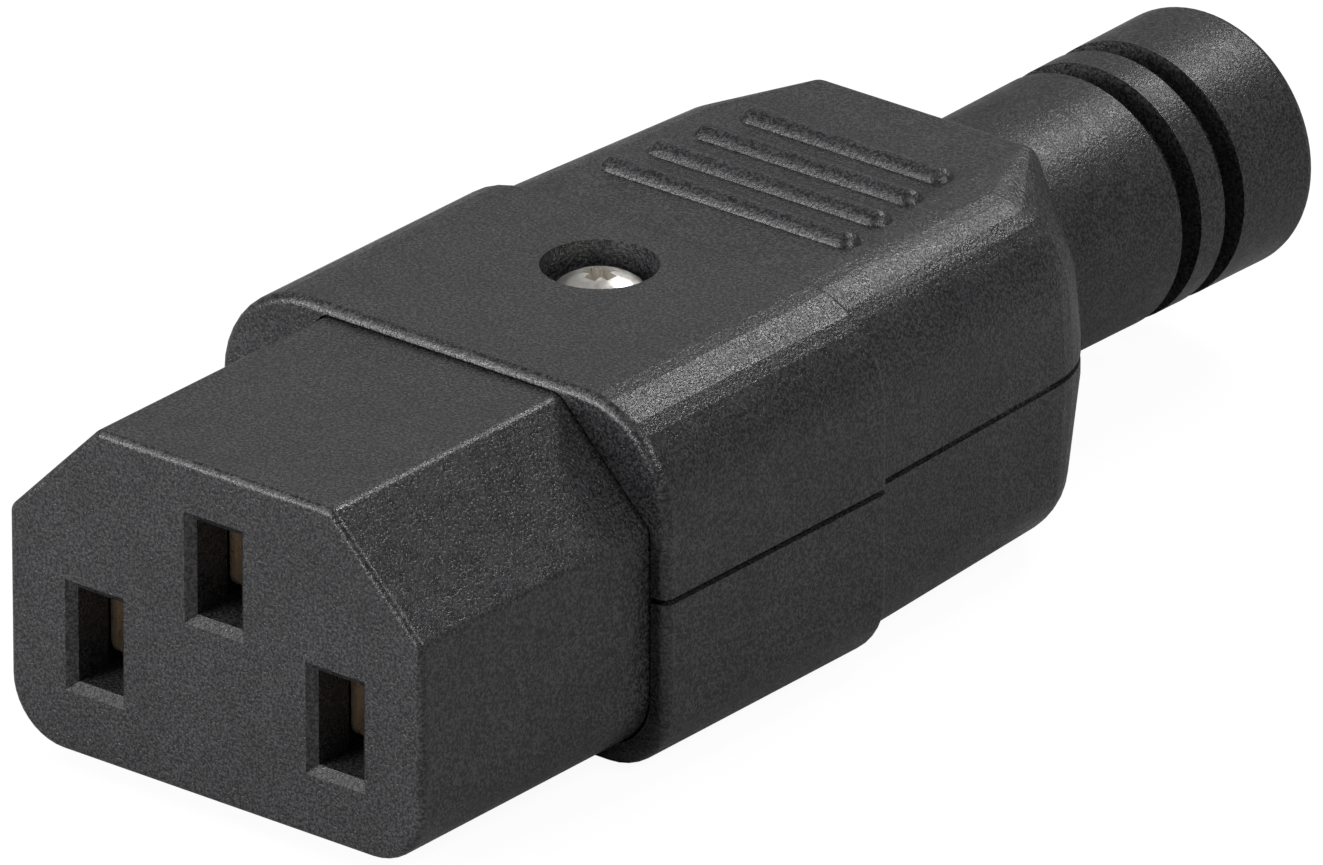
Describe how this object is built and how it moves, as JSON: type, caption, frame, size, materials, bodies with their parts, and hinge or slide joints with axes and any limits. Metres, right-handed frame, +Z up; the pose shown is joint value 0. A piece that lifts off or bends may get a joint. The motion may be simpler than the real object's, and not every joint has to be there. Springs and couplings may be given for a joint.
{
  "type": "rewireable C13 power connector",
  "caption": "Rewireable appliance power connector: chamfered nose with slots for flat pins, two-piece screwed housing with grip ribs, and a grooved rubber cord guard.",
  "frame": {"origin": "middle of the mating face: halfway across the nose's width and height, on its front face", "axes": "+X across the nose, to the right when seen from the front; +Y from the mating face along the connector to the cord; +Z up, towards the earth contact"},
  "size_m": [0.026, 0.0723, 0.0183],
  "materials": {
    "black_plastic": "fine spark-eroded grain",
    "black_rubber": "satin",
    "bronze": "bare spring bronze",
    "brass": "bare",
    "nickel": "nickel plated"
  },
  "bodies": {
    "root": {"upper_shell": "black_plastic", "lower_shell": "black_plastic", "contact_carrier": "black_plastic", "contact_retainer": "black_plastic", "left_contact": "bronze", "right_contact": "bronze", "earth_contact": "bronze", "left_terminal": "brass", "right_terminal": "brass", "earth_terminal": "brass", "left_terminal_screw": "nickel", "right_terminal_screw": "nickel", "earth_terminal_screw": "nickel", "cord_clamp": "black_plastic", "clamp_screw_left": "nickel", "clamp_screw_right": "nickel", "cover_screw": "nickel", "cover_nut": "nickel", "cord_guard": "black_rubber"}
  },
  "joints": []
}
